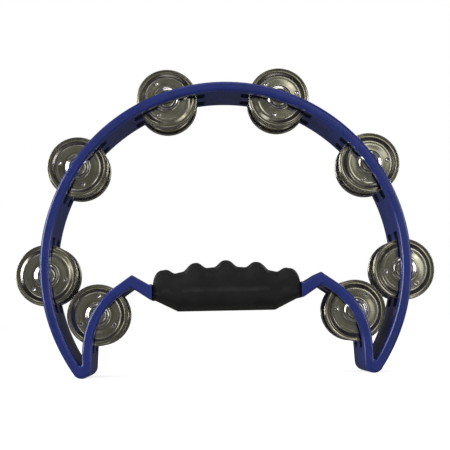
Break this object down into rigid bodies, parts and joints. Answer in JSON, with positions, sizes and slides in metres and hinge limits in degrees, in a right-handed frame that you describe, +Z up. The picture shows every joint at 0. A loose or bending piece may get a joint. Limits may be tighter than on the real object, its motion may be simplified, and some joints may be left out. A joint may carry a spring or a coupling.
{
  "type": "crescent tambourine",
  "caption": "Crescent tambourine: an arched plastic frame with curved legs, a finger-grooved grip across its open side, and paired jingle discs on pins in two rows of slots.",
  "frame": {"origin": "midway between the two tips that it stands on, on the plane of the tips, at half the band's depth", "axes": "+X along the grip to the right hand side seen from the front rim, +Y from the front rim to the back rim, +Z up to the top of the arc"},
  "size_m": [0.2894, 0.048, 0.2138],
  "materials": {
    "blue_plastic": "satin moulded, dark royal blue",
    "black_rubber": "matt, fine grain",
    "nickel_plate": "polished nickel plate on pressed sheet steel",
    "bright_steel": "plain bright wire"
  },
  "bodies": {
    "frame_and_grip": {"frame": "blue_plastic", "grip_upper": "black_rubber", "grip_lower": "black_rubber"},
    "pin_left_1": {"pin_left_1": "bright_steel"},
    "jingle_left_1_a": {"jingle_left_1_a": "nickel_plate"},
    "jingle_left_1_b": {"jingle_left_1_b": "nickel_plate"},
    "jingle_left_1_c": {"jingle_left_1_c": "nickel_plate"},
    "jingle_left_1_d": {"jingle_left_1_d": "nickel_plate"},
    "pin_left_2": {"pin_left_2": "bright_steel"},
    "jingle_left_2_a": {"jingle_left_2_a": "nickel_plate"},
    "jingle_left_2_b": {"jingle_left_2_b": "nickel_plate"},
    "jingle_left_2_c": {"jingle_left_2_c": "nickel_plate"},
    "jingle_left_2_d": {"jingle_left_2_d": "nickel_plate"},
    "pin_left_3": {"pin_left_3": "bright_steel"},
    "jingle_left_3_a": {"jingle_left_3_a": "nickel_plate"},
    "jingle_left_3_b": {"jingle_left_3_b": "nickel_plate"},
    "jingle_left_3_c": {"jingle_left_3_c": "nickel_plate"},
    "jingle_left_3_d": {"jingle_left_3_d": "nickel_plate"},
    "pin_left_4": {"pin_left_4": "bright_steel"},
    "jingle_left_4_a": {"jingle_left_4_a": "nickel_plate"},
    "jingle_left_4_b": {"jingle_left_4_b": "nickel_plate"},
    "jingle_left_4_c": {"jingle_left_4_c": "nickel_plate"},
    "jingle_left_4_d": {"jingle_left_4_d": "nickel_plate"},
    "pin_right_1": {"pin_right_1": "bright_steel"},
    "jingle_right_1_a": {"jingle_right_1_a": "nickel_plate"},
    "jingle_right_1_b": {"jingle_right_1_b": "nickel_plate"},
    "jingle_right_1_c": {"jingle_right_1_c": "nickel_plate"},
    "jingle_right_1_d": {"jingle_right_1_d": "nickel_plate"},
    "pin_right_2": {"pin_right_2": "bright_steel"},
    "jingle_right_2_a": {"jingle_right_2_a": "nickel_plate"},
    "jingle_right_2_b": {"jingle_right_2_b": "nickel_plate"},
    "jingle_right_2_c": {"jingle_right_2_c": "nickel_plate"},
    "jingle_right_2_d": {"jingle_right_2_d": "nickel_plate"},
    "pin_right_3": {"pin_right_3": "bright_steel"},
    "jingle_right_3_a": {"jingle_right_3_a": "nickel_plate"},
    "jingle_right_3_b": {"jingle_right_3_b": "nickel_plate"},
    "jingle_right_3_c": {"jingle_right_3_c": "nickel_plate"},
    "jingle_right_3_d": {"jingle_right_3_d": "nickel_plate"},
    "pin_right_4": {"pin_right_4": "bright_steel"},
    "jingle_right_4_a": {"jingle_right_4_a": "nickel_plate"},
    "jingle_right_4_b": {"jingle_right_4_b": "nickel_plate"},
    "jingle_right_4_c": {"jingle_right_4_c": "nickel_plate"},
    "jingle_right_4_d": {"jingle_right_4_d": "nickel_plate"}
  },
  "joints": [
    {"name": "pin_left_1_spin", "type": "hinge", "parent": "frame_and_grip", "child": "pin_left_1", "pos_m": [-0.03936, 0, 0.19259], "axis": [0, 1, 0], "continuous": true},
    {"name": "jingle_left_1_a_slide", "type": "slide", "parent": "pin_left_1", "child": "jingle_left_1_a", "axis": [0, 1, 0], "range_m": [-0.00095, 0.00095]},
    {"name": "jingle_left_1_b_slide", "type": "slide", "parent": "pin_left_1", "child": "jingle_left_1_b", "axis": [0, 1, 0], "range_m": [-0.00095, 0.00095]},
    {"name": "jingle_left_1_c_slide", "type": "slide", "parent": "pin_left_1", "child": "jingle_left_1_c", "axis": [0, 1, 0], "range_m": [-0.00095, 0.00095]},
    {"name": "jingle_left_1_d_slide", "type": "slide", "parent": "pin_left_1", "child": "jingle_left_1_d", "axis": [0, 1, 0], "range_m": [-0.00095, 0.00095]},
    {"name": "pin_left_2_spin", "type": "hinge", "parent": "frame_and_grip", "child": "pin_left_2", "pos_m": [-0.10193, 0, 0.14533], "axis": [0, 1, 0], "continuous": true},
    {"name": "jingle_left_2_a_slide", "type": "slide", "parent": "pin_left_2", "child": "jingle_left_2_a", "axis": [0, 1, 0], "range_m": [-0.00095, 0.00095]},
    {"name": "jingle_left_2_b_slide", "type": "slide", "parent": "pin_left_2", "child": "jingle_left_2_b", "axis": [0, 1, 0], "range_m": [-0.00095, 0.00095]},
    {"name": "jingle_left_2_c_slide", "type": "slide", "parent": "pin_left_2", "child": "jingle_left_2_c", "axis": [0, 1, 0], "range_m": [-0.00095, 0.00095]},
    {"name": "jingle_left_2_d_slide", "type": "slide", "parent": "pin_left_2", "child": "jingle_left_2_d", "axis": [0, 1, 0], "range_m": [-0.00095, 0.00095]},
    {"name": "pin_left_3_spin", "type": "hinge", "parent": "frame_and_grip", "child": "pin_left_3", "pos_m": [-0.1235, 0, 0.07038], "axis": [0, 1, 0], "continuous": true},
    {"name": "jingle_left_3_a_slide", "type": "slide", "parent": "pin_left_3", "child": "jingle_left_3_a", "axis": [0, 1, 0], "range_m": [-0.00095, 0.00095]},
    {"name": "jingle_left_3_b_slide", "type": "slide", "parent": "pin_left_3", "child": "jingle_left_3_b", "axis": [0, 1, 0], "range_m": [-0.00095, 0.00095]},
    {"name": "jingle_left_3_c_slide", "type": "slide", "parent": "pin_left_3", "child": "jingle_left_3_c", "axis": [0, 1, 0], "range_m": [-0.00095, 0.00095]},
    {"name": "jingle_left_3_d_slide", "type": "slide", "parent": "pin_left_3", "child": "jingle_left_3_d", "axis": [0, 1, 0], "range_m": [-0.00095, 0.00095]},
    {"name": "pin_left_4_spin", "type": "hinge", "parent": "frame_and_grip", "child": "pin_left_4", "pos_m": [-0.08856, 0, 0.04254], "axis": [0, 1, 0], "continuous": true},
    {"name": "jingle_left_4_a_slide", "type": "slide", "parent": "pin_left_4", "child": "jingle_left_4_a", "axis": [0, 1, 0], "range_m": [-0.00095, 0.00095]},
    {"name": "jingle_left_4_b_slide", "type": "slide", "parent": "pin_left_4", "child": "jingle_left_4_b", "axis": [0, 1, 0], "range_m": [-0.00095, 0.00095]},
    {"name": "jingle_left_4_c_slide", "type": "slide", "parent": "pin_left_4", "child": "jingle_left_4_c", "axis": [0, 1, 0], "range_m": [-0.00095, 0.00095]},
    {"name": "jingle_left_4_d_slide", "type": "slide", "parent": "pin_left_4", "child": "jingle_left_4_d", "axis": [0, 1, 0], "range_m": [-0.00095, 0.00095]},
    {"name": "pin_right_1_spin", "type": "hinge", "parent": "frame_and_grip", "child": "pin_right_1", "pos_m": [0.03936, 0, 0.19259], "axis": [0, 1, 0], "continuous": true},
    {"name": "jingle_right_1_a_slide", "type": "slide", "parent": "pin_right_1", "child": "jingle_right_1_a", "axis": [0, 1, 0], "range_m": [-0.00095, 0.00095]},
    {"name": "jingle_right_1_b_slide", "type": "slide", "parent": "pin_right_1", "child": "jingle_right_1_b", "axis": [0, 1, 0], "range_m": [-0.00095, 0.00095]},
    {"name": "jingle_right_1_c_slide", "type": "slide", "parent": "pin_right_1", "child": "jingle_right_1_c", "axis": [0, 1, 0], "range_m": [-0.00095, 0.00095]},
    {"name": "jingle_right_1_d_slide", "type": "slide", "parent": "pin_right_1", "child": "jingle_right_1_d", "axis": [0, 1, 0], "range_m": [-0.00095, 0.00095]},
    {"name": "pin_right_2_spin", "type": "hinge", "parent": "frame_and_grip", "child": "pin_right_2", "pos_m": [0.10193, 0, 0.14533], "axis": [0, 1, 0], "continuous": true},
    {"name": "jingle_right_2_a_slide", "type": "slide", "parent": "pin_right_2", "child": "jingle_right_2_a", "axis": [0, 1, 0], "range_m": [-0.00095, 0.00095]},
    {"name": "jingle_right_2_b_slide", "type": "slide", "parent": "pin_right_2", "child": "jingle_right_2_b", "axis": [0, 1, 0], "range_m": [-0.00095, 0.00095]},
    {"name": "jingle_right_2_c_slide", "type": "slide", "parent": "pin_right_2", "child": "jingle_right_2_c", "axis": [0, 1, 0], "range_m": [-0.00095, 0.00095]},
    {"name": "jingle_right_2_d_slide", "type": "slide", "parent": "pin_right_2", "child": "jingle_right_2_d", "axis": [0, 1, 0], "range_m": [-0.00095, 0.00095]},
    {"name": "pin_right_3_spin", "type": "hinge", "parent": "frame_and_grip", "child": "pin_right_3", "pos_m": [0.1235, 0, 0.07038], "axis": [0, 1, 0], "continuous": true},
    {"name": "jingle_right_3_a_slide", "type": "slide", "parent": "pin_right_3", "child": "jingle_right_3_a", "axis": [0, 1, 0], "range_m": [-0.00095, 0.00095]},
    {"name": "jingle_right_3_b_slide", "type": "slide", "parent": "pin_right_3", "child": "jingle_right_3_b", "axis": [0, 1, 0], "range_m": [-0.00095, 0.00095]},
    {"name": "jingle_right_3_c_slide", "type": "slide", "parent": "pin_right_3", "child": "jingle_right_3_c", "axis": [0, 1, 0], "range_m": [-0.00095, 0.00095]},
    {"name": "jingle_right_3_d_slide", "type": "slide", "parent": "pin_right_3", "child": "jingle_right_3_d", "axis": [0, 1, 0], "range_m": [-0.00095, 0.00095]},
    {"name": "pin_right_4_spin", "type": "hinge", "parent": "frame_and_grip", "child": "pin_right_4", "pos_m": [0.08856, 0, 0.04254], "axis": [0, 1, 0], "continuous": true},
    {"name": "jingle_right_4_a_slide", "type": "slide", "parent": "pin_right_4", "child": "jingle_right_4_a", "axis": [0, 1, 0], "range_m": [-0.00095, 0.00095]},
    {"name": "jingle_right_4_b_slide", "type": "slide", "parent": "pin_right_4", "child": "jingle_right_4_b", "axis": [0, 1, 0], "range_m": [-0.00095, 0.00095]},
    {"name": "jingle_right_4_c_slide", "type": "slide", "parent": "pin_right_4", "child": "jingle_right_4_c", "axis": [0, 1, 0], "range_m": [-0.00095, 0.00095]},
    {"name": "jingle_right_4_d_slide", "type": "slide", "parent": "pin_right_4", "child": "jingle_right_4_d", "axis": [0, 1, 0], "range_m": [-0.00095, 0.00095]}
  ]
}
